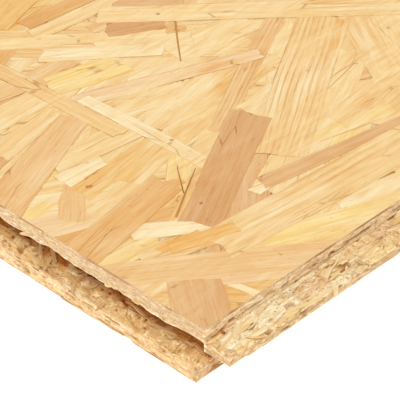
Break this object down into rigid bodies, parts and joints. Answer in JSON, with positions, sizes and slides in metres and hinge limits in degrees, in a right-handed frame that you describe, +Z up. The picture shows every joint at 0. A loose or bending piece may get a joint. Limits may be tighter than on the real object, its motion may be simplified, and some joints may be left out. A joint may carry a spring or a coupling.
{
  "type": "tongue and groove osb panel",
  "caption": "Flat oriented strand board panel with a tongue along one side and one end, and matching grooves along the opposite side and end.",
  "frame": {"origin": "centre of the panel's bounding box, on the level of its bottom face", "axes": "+X along the length, towards the end tongue; +Y across the width, towards the side groove; +Z up through the thickness, towards the top face"},
  "size_m": [2.4, 0.6, 0.018],
  "materials": {
    "osb": "pressed and resin-bonded strands, smooth faces, rough milled edges"
  },
  "bodies": {
    "root": {"osb_panel": "osb"}
  },
  "joints": []
}
